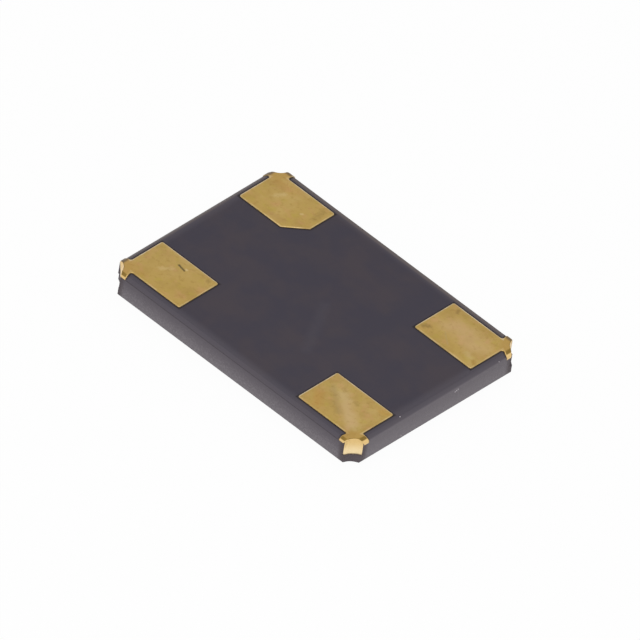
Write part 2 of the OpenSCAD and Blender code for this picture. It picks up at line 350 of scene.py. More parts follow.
def make_floor():
    """Plain pale floor, which keeps a faint shadow."""
    mesh = bpy.data.meshes.new("floor")
    half = FLOOR_SIZE / 2 * MM
    mesh.from_pydata([(-half, -half, 0), (half, -half, 0), (half, half, 0), (-half, half, 0)],
                     [], [(0, 1, 2, 3)])
    material, shader, place = start_material("floor", roughness=0.9, specular=0.0)
    shader["Base Color"].default_value = (0.8, 0.8, 0.8, 1)
    nodes = material.node_tree.nodes
    white = add(place.tree, "ShaderNodeEmission", {"Color": (1, 1, 1, 1), "Strength": 1.0})[0]
    mixed = add(place.tree, "ShaderNodeMixShader", {0: camera_sees(place.tree) * FLOOR_WHITE,
                                                    1: Outlets(nodes["Principled BSDF"])[0], 2: white})
    feed(nodes["Material Output"].inputs["Surface"], mixed[0])
    mesh.materials.append(material)
    floor = put("floor", mesh)


def make_sky():
    """Even sky: white to the eye, and dimmer as a source of light."""
    world = bpy.data.worlds.new("studio")
    bpy.context.scene.world = world
    world.use_nodes = True
    background = world.node_tree.nodes["Background"].inputs
    feed(background["Strength"], ramp(camera_sees(world.node_tree), 0.0, 1.0, SKY, 1.0))
    background["Color"].default_value = (1, 1, 1, 1)


def make_lamp(name, towards, distance, size, power):
    """A square soft lamp that looks at the part."""
    data = bpy.data.lights.new(name, "AREA")
    data.size, data.energy = size * MM, power
    direction = Vector(towards).normalized()
    turn = direction.to_track_quat("Z", "Y").to_matrix().to_4x4()
    put(name, data).matrix_world = Matrix.Translation(direction * distance * MM) @ turn


make_floor()
make_sky()
make_lamp("key_lamp", (0.45, -0.75, 1.2), distance=60, size=50, power=LAMP)
print("floor, sky and lamp in place")

# %% [markdown]
# The finished pieces are meshes built in millimetres and shrunk once at the end. Smooth
# shading rounds the curved faces, and every edge sharper than the given angle stays crisp.

# %% Finish a piece
def plain_mesh(mesh_data, name):
    """A mesh from a bmesh in millimetres, with its faces turned outward."""
    bmesh.ops.recalc_face_normals(mesh_data, faces=mesh_data.faces)
    bmesh.ops.scale(mesh_data, vec=(MM, MM, MM), verts=mesh_data.verts)
    mesh = bpy.data.meshes.new(name)
    mesh_data.to_mesh(mesh)
    mesh_data.free()
    return mesh


def dress(mesh, name, material, replaces=(), sharp=32):
    """A piece of the part from a mesh."""
    mesh.shade_smooth()
    mesh.set_sharp_from_angle(angle=math.radians(sharp))
    mesh.materials.clear()
    mesh.materials.append(material)
    piece = put(name, mesh)
    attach(piece, "root")
    if replaces:
        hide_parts(*replaces)
    print(f"{name}: {len(mesh.polygons)} faces")
    return piece


def finish_piece(mesh_data, name, material, replaces=(), sharp=32):
    """A piece of the part from a bmesh in millimetres."""
    bmesh.ops.remove_doubles(mesh_data, verts=mesh_data.verts, dist=1e-6)
    return dress(plain_mesh(mesh_data, name), name, material, replaces, sharp)


print("a mesh can be made a piece of the part")

# %% [markdown]
# Most shapes here are a skin over a row of outlines, each with the same count of points.
# An outline has straight stretches, arcs and rounded corners.

# %% Skins and outlines
def skin_loops(mesh_data, loops, close_ends=True):
    """Joins loops of points, each as long as the last, with quads, and caps the two ends."""
    rings = [[mesh_data.verts.new(point) for point in loop] for loop in loops]
    count = len(rings[0])
    for lower, upper in zip(rings, rings[1:]):
        for i in range(count):
            j = (i + 1) % count
            mesh_data.faces.new((lower[i], lower[j], upper[j], upper[i]))
    if close_ends:
        mesh_data.faces.new(rings[0])
        mesh_data.faces.new(list(reversed(rings[-1])))


def arc_points(centre, radius, start, end, steps):
    """Points along an arc, with angles in degrees."""
    angles = (math.radians(start + (end - start) * k / steps) for k in range(steps + 1))
    return [Vector((centre[0] + radius * math.cos(a), centre[1] + radius * math.sin(a))) for a in angles]


def rounded(points, radii, steps=6):
    """An open outline whose inner corners are rounded, with the same count of points each time."""
    path = [Vector(points[0])]
    for before, corner, after, radius in zip(points, points[1:], points[2:], radii):
        corner = Vector(corner)
        into, out = (Vector(before) - corner).normalized(), (Vector(after) - corner).normalized()
        half = into.angle(out) / 2
        centre = corner + (into + out).normalized() * radius / math.sin(half)
        first = corner + into * radius / math.tan(half) - centre
        last = corner + out * radius / math.tan(half) - centre
        path += [centre + first.slerp(last, k / steps).normalized() * radius for k in range(steps + 1)]
    return path + [Vector(points[-1])]


print("skins and outlines ready")

# %% [markdown]
# ## The ceramic body
#
# The package is fired as part of a large sheet, scored along its lines and snapped apart.
# So each edge of the face has a smooth bevel from the score, and below it a rough broken
# side. Every level of the outside is the same outline, a rectangle bitten at its corners
# by the notches, so the body is a stack of such outlines skinned together. The thin point
# between a notch and a side breaks off in the snapping, so each of these is rounded.

# %% Broken points beside a notch
CUSP_STEPS = 5


def cusp(inset, across, along, radius):
    """From a side, round the broken point, to a notch: distances in from the side and along it.

    The notch's centre lies across in from this side and along it from the corner."""
    start = along + math.sqrt((radius + CUSP_R) ** 2 - (CUSP_R - across) ** 2)
    last = math.atan2(start - along, CUSP_R - across)
    inset = max(inset, 0)
    first = math.acos(1 - min(inset, CUSP_R) / CUSP_R)
    if first >= last or inset >= CUSP_R:
        return [(inset, along + math.sqrt(radius ** 2 - (inset - across) ** 2))] * (CUSP_STEPS + 1)
    turns = [first + (last - first) * k / CUSP_STEPS for k in range(CUSP_STEPS + 1)]
    return [(CUSP_R * (1 - math.cos(turn)), start - CUSP_R * math.sin(turn)) for turn in turns]


print("points round a broken point:", len(cusp(0, 0, 0, NOTCH_R)))

# %% [markdown]
# An outline goes round the four corners, and each quarter of it runs from the middle of a
# short side, round a notch, to the middle of a long side. The two sides have different
# bevels, so a level has an inset and a height for each, and the points round the notch pass
# from one height to the other. The levels follow a side's profile, from the face down. Its
# two roundings are the radii above and below the bevel. A hair above and below the ledge,
# the plated notches give way to the bare ones.

# %% Ceramic outline
SIDE_STEPS_X, SIDE_STEPS_Y, NOTCH_STEPS = 150, 110, 22
SHORT_ROUNDING, LONG_ROUNDING, FOOT_ROUNDING = (0.10, 0.09), (0.03, 0.03), 0.012
INNER_FACE, INNER_FOOT = 0.05, 0.08
STEEP_SIDE, SIDE_LEVELS = 0.09, 5
HAIR = 0.002


def bitten_outline(inset_x, inset_y, z_x, z_y, plated):
    """One level of the body. Short sides stand in by inset_x at z_x, long sides by inset_y at z_y."""
    loop = []
    for name in ("terminal_2", "terminal_1", "terminal_4", "terminal_3"):
        sx, sy = CORNERS[name]
        cx, cy = (PLATED_CENTRE if plated else BARE_CENTRE)[name]
        radius = NOTCH_R if plated else BARE_R[name]
        from_short = cusp(inset_x, cx, cy, radius)
        to_long = [(x, y) for y, x in reversed(cusp(inset_y, cy, cx, radius))]
        start = math.atan2(from_short[-1][1] - cy, from_short[-1][0] - cx)
        end = math.atan2(to_long[0][1] - cy, to_long[0][0] - cx)
        count = SIDE_STEPS_Y // 2
        quarter = [(inset_x, HALF_W + (from_short[0][1] - HALF_W) * k / count, z_x) for k in range(count)]
        quarter += [(x, y, z_x) for x, y in from_short]
        for k in range(1, NOTCH_STEPS):
            share = k / NOTCH_STEPS
            angle = start + (end - start) * share
            quarter.append((cx + radius * math.cos(angle), cy + radius * math.sin(angle),
                            z_x + (z_y - z_x) * share))
        quarter += [(x, y, z_y) for x, y in to_long]
        count = SIDE_STEPS_X // 2
        quarter += [(to_long[-1][0] + (HALF_L - to_long[-1][0]) * k / count, inset_y, z_y)
                    for k in range(1, count + 1)]
        part = [Vector((sx * (HALF_L - x), sy * (HALF_W - y), z)) for x, y, z in quarter]
        if sx * sy < 0:
            part.reverse()
        loop += part[:-1]
    return loop


def side_profile(bevel, rounding):
    """Inset and level from the face down to the lid side, the same count of points for any bevel."""
    width, depth = bevel
    path = rounded([(width + INNER_FACE, TOP_Z), (width, TOP_Z), (0, TOP_Z - depth),
                    (0, LEDGE_Z + STEEP_SIDE)], rounding)
    top_of_side = path[-1].y
    path += [Vector((0, top_of_side + (LEDGE_Z + HAIR - top_of_side) * k / SIDE_LEVELS))
             for k in range(1, SIDE_LEVELS + 1)]
    foot = [(0, LEDGE_Z - HAIR), (0, FRAME_Z), (INNER_FOOT, FRAME_Z)]
    return path + rounded(foot, (FOOT_ROUNDING,), steps=3)


short_side = side_profile(SHORT_BEVEL, SHORT_ROUNDING)
long_side = side_profile(LONG_BEVEL, LONG_ROUNDING)
print("levels of the outline:", len(short_side))

# %% [markdown]
# The stack is skinned into one closed shell. Where the side was snapped, its points are
# pushed in by a few microns. Later the sealed cavity is cut out of the shell from the lid
# side, in three steps as the real layers are punched: the opening for the quartz blank,
# the ledge that holds it, and the pocket for the chip.

# %% Ceramic shell and the tool for its cavity
SNAP_DEPTH, SNAP_SIZE = 0.006, 0.09
SMOOTH_TOP, SMOOTH_FOOT = 0.1, 0.02
ON_THE_SIDE = 1e-4


def plate_outline(low_x, high_x, half_y, radius, steps=12):
    """A rectangle with round corners, from low_x to high_x."""
    first_x, last_x, last_y = low_x + radius, high_x - radius, half_y - radius
    centres = ((last_x, last_y), (first_x, last_y), (first_x, -last_y), (last_x, -last_y))
    points = []
    for quarter, centre in enumerate(centres):
        points += arc_points(centre, radius, 90 * quarter, 90 * quarter + 90, steps)
    return points


def cut(piece, path, low_z, high_z):
    """Cuts a prism out of a piece."""
    tool_data = bmesh.new()
    skin_loops(tool_data, [[(x, y, z) for x, y in path] for z in (low_z, high_z)])
    tool = put("cutter", plain_mesh(tool_data, "cutter"))
    modifier = piece.modifiers.new("cut", "BOOLEAN")
    modifier.operation, modifier.solver, modifier.object = "DIFFERENCE", "EXACT", tool
    evaluated = piece.evaluated_get(bpy.context.evaluated_depsgraph_get())
    mesh = bpy.data.meshes.new_from_object(evaluated)
    piece.modifiers.clear()
    piece.data = mesh
    bpy.data.objects.remove(tool)


def snapped(point):
    """Pushes a point of the broken side in by a few microns."""
    on_end, on_side = abs(point.x) > HALF_L - ON_THE_SIDE, abs(point.y) > HALF_W - ON_THE_SIDE
    smooth = TOP_Z - point.z < SMOOTH_TOP or point.z < FRAME_Z + SMOOTH_FOOT
    if smooth or not (on_end or on_side):
        return point
    push = SNAP_DEPTH * abs(noise.fractal(point / SNAP_SIZE, 1.0, 2.0, 3))
    outward = Vector((math.copysign(on_end, point.x), math.copysign(on_side, point.y), 0))
    return point - outward * push


levels = []
for (inset_x, z_x), (inset_y, z_y) in zip(short_side, long_side):
    outline = bitten_outline(inset_x, inset_y, z_x, z_y, plated=min(z_x, z_y) > LEDGE_Z)
    levels.append([snapped(point) for point in outline])
shell = bmesh.new()
skin_loops(shell, levels)
print("shell faces:", len(shell.faces))

# %% [markdown]
# Metal and ceramic both change close to the terminals' outline: the ceramic is painted
# darker there as shade beside the metal, and the metal gets a painted highlight along its
# rim. So one group tells how far a place is from that outline, in millimetres, above 0 on
# the ceramic and below 0 on the metal.
# The outline is a pad, which is a box and for one terminal has a cut corner, together with
# a ring round each notch.

# %% Distance to the terminals' outline
def from_notch(place, name):
    """How far a place is from the axis of a terminal's notch."""
    (sx, sy), (cx, cy) = CORNERS[name], PLATED_CENTRE[name]
    return maths("LENGTH", (place - (sx * (HALF_L - cx), sy * (HALF_W - cy), 0.0)) * (1.0, 1.0, 0.0))


terminal_edge, given, result = group("terminal_outline", "Distance")
x, y, _ = xyz(given["Vector"])
wide, deep = abs(x), abs(y)
past_x = maths("MAXIMUM", wide - (HALF_L - MARGIN_X), PAD_X - wide)
past_y = maths("MAXIMUM", deep - (HALF_W - MARGIN_Y), PAD_Y - deep)
at_first = maths("LESS_THAN", x, 0.0) * maths("GREATER_THAN", y, 0.0)
past_cut = (PAD_X + PAD_Y + CUT_1 - (wide + deep)) * math.sqrt(0.5) - (1.0 - at_first)
past = maths("MAXIMUM", maths("MAXIMUM", past_x, past_y), past_cut)
for name in CORNERS:
    past = maths("MINIMUM", past, from_notch(given["Vector"], name) - EAR_R)
feed(result, past)
print("the outline's group has", len(terminal_edge.nodes), "nodes")

# %% [markdown]
# The ceramic is black alumina. Its fired face is smooth and dark with a faint unevenness,
# lighter within about a fifth of a millimetre of its edges, and with a painted sheen along
# the two far ones. The snapped sides are a paler, coarser fracture; part of that paleness
# is painted light, and the short ends are painted paler still. The sides grow paler towards
# the foot. The direction that a point faces tells the two apart: the face looks straight up
# and a side looks sideways, so the bevel blends from one to the other.

# %% Ceramic material
FACE, FACE_WARM, FACE_NEAR_EDGE = srgb(60, 56, 67), srgb(67, 60, 67), srgb(88, 83, 91)
FACE_FAR_SHEEN, PAINTED_SHADE_BY_METAL, SHADE_AT_NOTCH = srgb(124, 112, 104), srgb(34, 27, 28), srgb(74, 63, 66)
SNAPPED, SNAPPED_PALE, LINE_UNDER_BEVEL = srgb(100, 94, 101), srgb(136, 130, 135), srgb(66, 60, 66)
SCORE_Z = TOP_Z - LONG_BEVEL[1] - 0.012
FACE_STREAK = ((0.10, 0.15, TOP_Z), (0.80, -1.10, TOP_Z), 0.22, 0.8, 0.12, (88, 86, 96))


def make_ceramic():
    """Black alumina with a fired face and snapped sides."""
    material, shader, place = start_material("black_ceramic", roughness=0.62, specular=0.22)
    x, y, z = xyz(place)
    sideways = ramp(abs(facing_up(place)), 0.35, 0.95, 1.0, 0.0)
    to_end, to_side = FACE_X - abs(x), FACE_Y - abs(y)
    # Lighter within 0.22 mm of the face's edges.
    rim = ramp(maths("MINIMUM", to_end, to_side), 0.0, 0.22, 1.0, 0.0)
    # Painted sheen along the two far edges of the face.
    far = maths("MAXIMUM", ramp(x, 0.17 - HALF_L, 0.09 - HALF_L), ramp(y, HALF_W - 0.18, HALF_W - 0.10))
    beside = use(terminal_edge, place)
    # Painted shade on the face of the ceramic, close beside the terminals' metal.
    shade_by_metal = ramp(beside, 0.01, 0.055, 0.9, 0.0) * ramp(beside, -0.03, -0.01)
    on_face = ramp(z, TOP_Z - 0.13, TOP_Z - 0.11)
    face = blend(use(clouds, place, Size=0.9, Low=0.35, High=0.7), FACE, FACE_WARM)
    face = blend(rim * 0.55, face, FACE_NEAR_EDGE)
    face = blend(far * 0.45, face, FACE_FAR_SHEEN)
    face = marks(face, place, [FACE_STREAK])
    face = blend(shade_by_metal * on_face, face, PAINTED_SHADE_BY_METAL)

    # The sides' pale colour is partly the fracture's own and partly painted light. They grow paler towards
    # the foot, and painted light makes the short ends paler still.
    side = SNAPPED
    speckle = use(clouds, place, Size=0.035, Low=0.42, High=0.66)
    lower = ramp(z, TOP_Z - 0.08, FRAME_Z - 0.05)
    for paler in (lower * speckle, lower * 0.7, ramp(to_end, 0.02, -0.06) * 0.45):
        side = blend(paler, side, SNAPPED_PALE)

    colour = blend(sideways, face, side)
    # Darker along a thin line on the long sides, just under the bevel.
    on_long_side = ramp(abs(y), HALF_W - 0.03, HALF_W - 0.005)
    off_line = abs(z - SCORE_Z)
    dark_line = on_long_side * ramp(off_line, 0.004, 0.022, 1.0, 0.0)
    colour = blend(dark_line * 0.7, colour, LINE_UNDER_BEVEL)
    # Painted shade in the notches and on the sides next to them.
    point = ramp(beside, 0.02 - EAR_W, 0.03, 1.0, 0.0) * sideways
    feed(shader["Base Color"], blend(point * 0.7, colour, SHADE_AT_NOTCH))
    tooth = use(grain, place, Size=0.03)
    add_bump(shader, tooth * ramp(sideways, 0.0, 1.0, 0.12, 1.0), depth=0.012)
    return material


ceramic = finish_piece(shell, "ceramic_body_shell", make_ceramic(),
                       ["ceramic_body"], sharp=28)

# %% [markdown]
# The cavity's sizes follow from the seal on the lid side, and its pocket from the chip.

# %% Cavity
RING_W, SEAL_LIP, CAVITY_R, LEDGE_L = 0.35, 0.10, 0.25, 0.62
POCKET_GAP, POCKET_R = 0.20, 0.15
BASE_T, CHIP_LAYER_T = 0.17, 0.12
BASE_Z = TOP_Z - BASE_T
SHELF_Z = BASE_Z - CHIP_LAYER_T
OVERCUT = 0.05
seal_high = box("seal_metallization")[1]
chip_low, chip_high = box("oscillator_chip")
CHIP_X = (chip_low.x + chip_high.x) / 2

cavity_x, cavity_y = seal_high.x - RING_W - SEAL_LIP, seal_high.y - RING_W - SEAL_LIP
pocket_x = (chip_high.x - chip_low.x) / 2 + POCKET_GAP
pocket_y = (chip_high.y - chip_low.y) / 2 + POCKET_GAP
opening = plate_outline(-cavity_x, cavity_x, cavity_y, CAVITY_R)
beside_ledge = plate_outline(LEDGE_L - cavity_x, cavity_x, cavity_y, CAVITY_R)
pocket = plate_outline(CHIP_X - pocket_x, CHIP_X + pocket_x, pocket_y, POCKET_R)
cut(ceramic, opening, FRAME_Z - 4 * OVERCUT, LEDGE_Z)
cut(ceramic, beside_ledge, LEDGE_Z - OVERCUT, SHELF_Z)
cut(ceramic, pocket, SHELF_Z - OVERCUT, BASE_Z)
print("ceramic after its cavity is cut:", len(ceramic.data.polygons), "faces")

# %% [markdown]
# ## The solder terminals
#
# A terminal is one thin layer of metal: a pad, a ring around the notch, and a lining down
# the notch. It is easiest to draw flat. Each corner is laid out by two distances, in from
# the short side and in from the long side, and the third number says where a point is in
# the metal: 0 on the ceramic, 1 on top of the plating, and -1 at the foot of the lining.
# Cutting this flat sheet along the bevels' edges and then draping it gives true folds.

# %% Terminal outline
EAR_FILLET = 0.05
EAR_STEPS, PAD_STEPS = 6, 5


def ear_side(margin, across, along):
    """Ring from a side of the package to the pad's edge, which stands margin away from that side.

    The notch's centre lies across in from the side and along it from the corner."""
    drop = margin - EAR_FILLET - across
    reach = math.sqrt((EAR_R + EAR_FILLET) ** 2 - drop ** 2)
    start = math.degrees(math.asin(-across / EAR_R))
    touch = math.degrees(math.atan2(drop, reach))
    points = arc_points((0, 0), EAR_R, start, touch, EAR_STEPS)
    points += arc_points((reach, drop), EAR_FILLET, 180 + touch, 90, EAR_STEPS)
    return [point + Vector((along, across)) for point in points]


def pad_corner(x, y, sx, sy, cut_size=0.0):
    """A corner of the pad, going round from the edge at x to the edge at y, or a straight cut."""
    if cut_size:
        return [Vector((x, y - sy * cut_size)), Vector((x - sx * cut_size, y))]
    arc = arc_points((0, 0), PAD_ROUND, 0, 90, PAD_STEPS)
    return [Vector((x - sx * (PAD_ROUND - p.x), y - sy * (PAD_ROUND - p.y))) for p in arc]


def terminal_outline(name, cut_size=0.0):
    """The free outline, from the notch on the long side round the pad to the notch on the short side."""
    cx, cy = PLATED_CENTRE[name]
    far_x, far_y = HALF_L - PAD_X, HALF_W - PAD_Y
    points = [Vector((x, y)) for y, x in reversed(cusp(0, cy, cx, NOTCH_R))]
    points += ear_side(MARGIN_Y, cy, cx)
    points += reversed(pad_corner(far_x, MARGIN_Y, 1, -1))
    points += pad_corner(far_x, far_y, 1, 1, cut_size)
    points += reversed(pad_corner(MARGIN_X, far_y, -1, 1))
    points += [Vector((p.y, p.x)) for p in reversed(ear_side(MARGIN_X, cx, cy))]
    return points + [Vector((x, y)) for x, y in cusp(0, cx, cy, NOTCH_R)]


print("points round a terminal:", len(terminal_outline("terminal_1", CUT_1)))

# %% [markdown]
# Draping needs the height of the ceramic under any point, and of the plating over it. Both
# come from the same bevel outlines as the body, so the metal lies on it without a gap.

# %% Heights of the ceramic and of the plating
def bevel_part(profile):
    """The part of a side profile that a terminal can lie on: face, bevel and their roundings."""
    reached = next(i for i, p in enumerate(profile) if p.x < 1e-6)
    return profile[:reached + 1]


def thickened(path):
    """The same outline, lifted off it by the plating's thickness."""
    lifted = []
    for i, point in enumerate(path):
        run = path[min(i + 1, len(path) - 1)] - path[max(i - 1, 0)]
        lifted.append(point + Vector((run.y, -run.x)).normalized() * SKIN)
    return lifted


def height(path, inset):
    """Level of an outline at a distance in from the package's side."""
    if inset >= path[0].x:
        return path[0].y
    for inner, outer in zip(path, path[1:]):
        if inner.x >= inset >= outer.x and inner.x > outer.x:
            return outer.y + (inner.y - outer.y) * (inset - outer.x) / (inner.x - outer.x)
    return path[-1].y


SHORT_FACE, LONG_FACE = bevel_part(short_side), bevel_part(long_side)
SHORT_SKIN, LONG_SKIN = thickened(SHORT_FACE), thickened(LONG_FACE)


def draped(flat):
    """A point of the flat layout, laid on the ceramic. Its third number is its place in the metal."""
    ground = min(height(SHORT_FACE, flat.x), height(LONG_FACE, flat.y))
    if flat.z < 0:
        return ground + flat.z * (ground - LEDGE_Z)
    cover = min(height(SHORT_SKIN, flat.x), height(LONG_SKIN, flat.y))
    return ground + flat.z * (cover - ground)


print("plating over the short side ends at", round(height(SHORT_SKIN, 0), 3), "mm")

# %% [markdown]
# Round the outline the metal has a small rounded rim. Along the notch it turns over a lip
# and runs down as the lining, which thins out towards its two sides and flares onto the
# ledge it ends on. The linings differ from corner to corner. Each half of one, towards the
# short side and towards the long side, has two numbers: the share of the notch's width that
# it lacks under the lip, and at its foot, below 0 where it is wider. Rim and lining have the
# same count of steps, so one skin joins them.

# %% Rim and lining of a terminal
RIM_ROUND, LIP_ROUND = 0.02, 0.018
ROUND_STEPS, LINING_STEPS, ARC_STEPS = 4, 6, 24
USUAL_LINING = ((0.30, 0.0), (0.30, 0.0))
LINING_SHAPE = {"terminal_1": USUAL_LINING, "terminal_2": USUAL_LINING,
                "terminal_3": ((0.42, -0.05), (0.42, -0.05)), "terminal_4": ((0.0, 0.42), (0.30, 0.0))}
FOOT_FLARE = 0.02
THIN_SIDE, THICKENING = 0.1, 8


def rounded_over(start, inward, radius):
    """From the top of the metal over a rounded edge. Start is the edge in the flat layout."""
    steps = []
    for k in range(ROUND_STEPS + 1):
        turn = math.radians(90 * k / ROUND_STEPS)
        flat = start + inward * radius * (1 - math.sin(turn))
        steps.append(Vector((flat.x, flat.y, 1 - radius / SKIN * (1 - math.cos(turn)))))
    return steps


def rim_steps(flat, inward):
    """From the top of the metal over its rounded rim and down to the ceramic."""
    return rounded_over(flat, inward, RIM_ROUND) + [Vector((flat.x, flat.y, 0))] * (LINING_STEPS + 2)


def lining_steps(centre, angle, middle, thickness, flare, narrower):
    """From the top of the metal over the lip and down the notch, then back up behind the lining."""
    def towards(less):
        turn = middle + (angle - middle) * (1 - less)
        return Vector((math.cos(turn), math.sin(turn)))
    under_lip, at_foot = narrower
    inner = NOTCH_R - thickness
    steps = rounded_over(centre + towards(0) * inner, towards(0), LIP_ROUND)
    start = steps[-1].z
    for k in range(1, LINING_STEPS + 1):
        share = k / LINING_STEPS
        less = under_lip + (at_foot - under_lip) * share ** 2
        flat = centre + towards(less) * (inner - flare * share ** 4)
        steps.append(Vector((flat.x, flat.y, start + (-1 - start) * share)))
    foot, behind = centre + towards(at_foot) * NOTCH_R, centre + towards(0) * NOTCH_R
    return steps + [Vector((foot.x, foot.y, -1)), Vector((behind.x, behind.y, 0))]


print("steps down the metal's edge:", len(rim_steps(Vector((0, 0)), Vector((1, 0)))))

# %% [markdown]
# A terminal is a row of these edges all the way round, skinned into a closed flat sheet. It
# is cut along every fold of the two bevels, and then each of its points is lifted to the
# height it has on the ceramic.

# %% Terminal mesh
def terminal_columns(name, cut_size):
    """Every step down the metal's edge, all the way round."""
    free = terminal_outline(name, cut_size)
    columns = []
    for before, flat, after in zip(free, free[1:], free[2:]):
        run = (flat - before).normalized() + (after - flat).normalized()
        columns.append(rim_steps(flat, Vector((-run.y, run.x)).normalized()))
    centre = Vector(PLATED_CENTRE[name])
    first, last = free[-1] - centre, free[0] - centre
    start, end = math.atan2(first.y, first.x), math.atan2(last.y, last.x)
    for k in range(ARC_STEPS + 1):
        share = k / ARC_STEPS
        thickness = SKIN * min(1, THIN_SIDE + THICKENING * min(share, 1 - share))
        flare = FOOT_FLARE * math.sin(math.pi * share)
        narrower = LINING_SHAPE[name][0 if share < 0.5 else 1]
        columns.append(lining_steps(centre, start + (end - start) * share, (start + end) / 2,
                                    thickness, flare, narrower))
    return columns


def make_terminal(name, material, cut_size=0.0):
    """One solder terminal as a closed, draped shell."""
    sx, sy = CORNERS[name]
    sheet = bmesh.new()
    columns = terminal_columns(name, cut_size)
    skin_loops(sheet, [[column[k] for column in columns] for k in range(len(columns[0]))])
    bmesh.ops.remove_doubles(sheet, verts=sheet.verts, dist=1e-6)
    folds = [(Vector((1, 0, 0)), p.x) for p in SHORT_FACE + SHORT_SKIN]
    folds += [(Vector((0, 1, 0)), p.x) for p in LONG_FACE + LONG_SKIN]
    for direction, inset in folds:
        if inset > 0.001:
            everything = sheet.verts[:] + sheet.edges[:] + sheet.faces[:]
            bmesh.ops.bisect_plane(sheet, geom=everything, dist=1e-7, plane_co=direction * inset,
                                   plane_no=direction)
    for vertex in sheet.verts:
        level = draped(vertex.co)
        vertex.co = Vector((sx * (HALF_L - vertex.co.x), sy * (HALF_W - vertex.co.y), level))
    return finish_piece(sheet, name + "_plating", material, [name], sharp=40)


print("columns round a terminal:", len(terminal_columns("terminal_1", CUT_1)))

# %% [markdown]
# The plating is soft gold over nickel. In use it is never one colour: it has brown patches
# where it is thin, pale smears from handling, and on one terminal a scratch from a probe.
# The patches are the same clouds at several places, sizes, strengths and colours. The marks
# belong to single terminals, so each terminal has its own list: start, end, width, wobble,
# strength and colour.

# %% Patches and marks on the gold
GOLD, GOLD_BROWN, GOLD_PALE = srgb(180, 151, 86), srgb(160, 130, 70), srgb(196, 169, 110)
GOLD_RING, GOLD_LINING_HIGHLIGHT, GOLD_FOOT_HIGHLIGHT = srgb(176, 141, 78), srgb(230, 196, 132), srgb(246, 222, 174)
GOLD_SHEEN, GOLD_ROSY, GOLD_GREEN = srgb(214, 202, 178), srgb(190, 148, 100), srgb(176, 154, 74)
GOLD_FOLD_SHADE, GOLD_RIM_HIGHLIGHT, FAR_BEVEL_SHADE = srgb(122, 98, 46), srgb(216, 194, 150), srgb(96, 82, 70)
FLECKS = {"Size": 0.10, "Low": 0.50, "High": 0.74}
PATCHES = [((0.0, 0.0, 0.0), {"Size": 0.42, "Low": 0.42, "High": 0.68}, 0.45, GOLD_BROWN),
           ((7.0, 3.0, 0.0), {"Size": 0.55, "Low": 0.48, "High": 0.75}, 0.45, GOLD_PALE),
           ((0.0, 0.0, 0.0), FLECKS, 0.35, GOLD_BROWN),
           ((5.0, 0.0, 1.0), {"Size": 0.24, "Low": 0.50, "High": 0.72}, 0.50, GOLD_ROSY),
           ((9.0, 0.0, 1.0), {"Size": 0.24, "Low": 0.52, "High": 0.72}, 0.50, GOLD_GREEN)]
WEAR = {
    "terminal_1": [((-2.85, 1.72), (-2.76, 1.90), 0.09, 1.2, 0.40, (206, 182, 128)),
                   ((-2.13, 1.73), (-2.11, 1.75), 0.05, 0.5, 0.45, (212, 190, 140)),
                   ((-2.55, 1.25), (-2.20, 1.30), 0.14, 1.5, 0.35, (164, 128, 84)),
                   ((-1.90, 2.15), (-1.84, 1.80), 0.12, 1.6, 0.35, (140, 116, 66)),
                   ((-3.05, 2.05), (-2.60, 2.15), 0.24, 1.0, 0.35, (180, 138, 80))],
    "terminal_2": [((1.80, 1.30), (1.88, 1.36), 0.10, 1.4, 0.60, (126, 106, 56)),
                   ((1.93, 2.20), (1.98, 2.12), 0.06, 1.4, 0.55, (132, 104, 60)),
                   ((2.15, 1.75), (2.95, 1.72), 0.42, 1.0, 0.42, (202, 170, 130)),
                   ((2.22, 1.51), (2.51, 1.28), 0.03, 2.0, 0.40, (168, 150, 104)),
                   ((2.95, 1.40), (3.08, 1.36), 0.12, 1.2, 0.22, (204, 188, 140)),
                   ((2.20, 2.15), (2.40, 2.16), 0.14, 1.4, 0.30, (160, 138, 64)),
                   ((3.20, 1.33), (3.26, 1.28), 0.08, 1.2, 0.45, (150, 112, 50))],
    "terminal_3": [((2.25, -1.52), (3.02, -2.08), 0.24, 0.8, 0.34, (206, 184, 144)),
                   ((1.97, -1.52), (2.57, -2.00), 0.13, 0.9, 0.28, (146, 128, 88)),
                   ((1.92, -1.90), (2.10, -2.14), 0.22, 1.2, 0.40, (180, 132, 66)),
                   ((2.55, -1.70), (2.95, -1.95), 0.30, 1.2, 0.25, (196, 160, 116)),
                   ((2.58, -1.50), (2.66, -1.53), 0.07, 1.6, 0.45, (148, 124, 66)),
                   ((2.14, -1.38), (2.20, -1.42), 0.09, 1.5, 0.40, (150, 122, 64)),
                   ((3.12, -1.28), (3.24, -1.26), 0.14, 1.4, 0.40, (184, 142, 70)),
                   ((2.95, -1.45), (3.00, -1.40), 0.16, 1.2, 0.30, (204, 176, 120))],
    "terminal_4": [((-2.76, -1.76), (-2.60, -1.56), 0.09, 1.4, 0.45, (206, 180, 126)),
                   ((-2.60, -1.38), (-2.41, -1.42), 0.04, 0.9, 0.90, (70, 62, 40)),
                   ((-2.41, -1.36), (-2.38, -1.37), 0.04, 0.8, 0.60, (216, 196, 146)),
                   ((-1.90, -1.24), (-1.86, -1.28), 0.07, 1.5, 0.50, (138, 112, 60)),
                   ((-1.98, -2.06), (-1.90, -2.00), 0.12, 1.4, 0.35, (164, 128, 76)),
                   ((-3.20, -2.15), (-2.90, -2.20), 0.22, 1.2, 0.30, (178, 136, 76))],
}
print("marks on the terminals:", {name: len(wear) for name, wear in WEAR.items()})
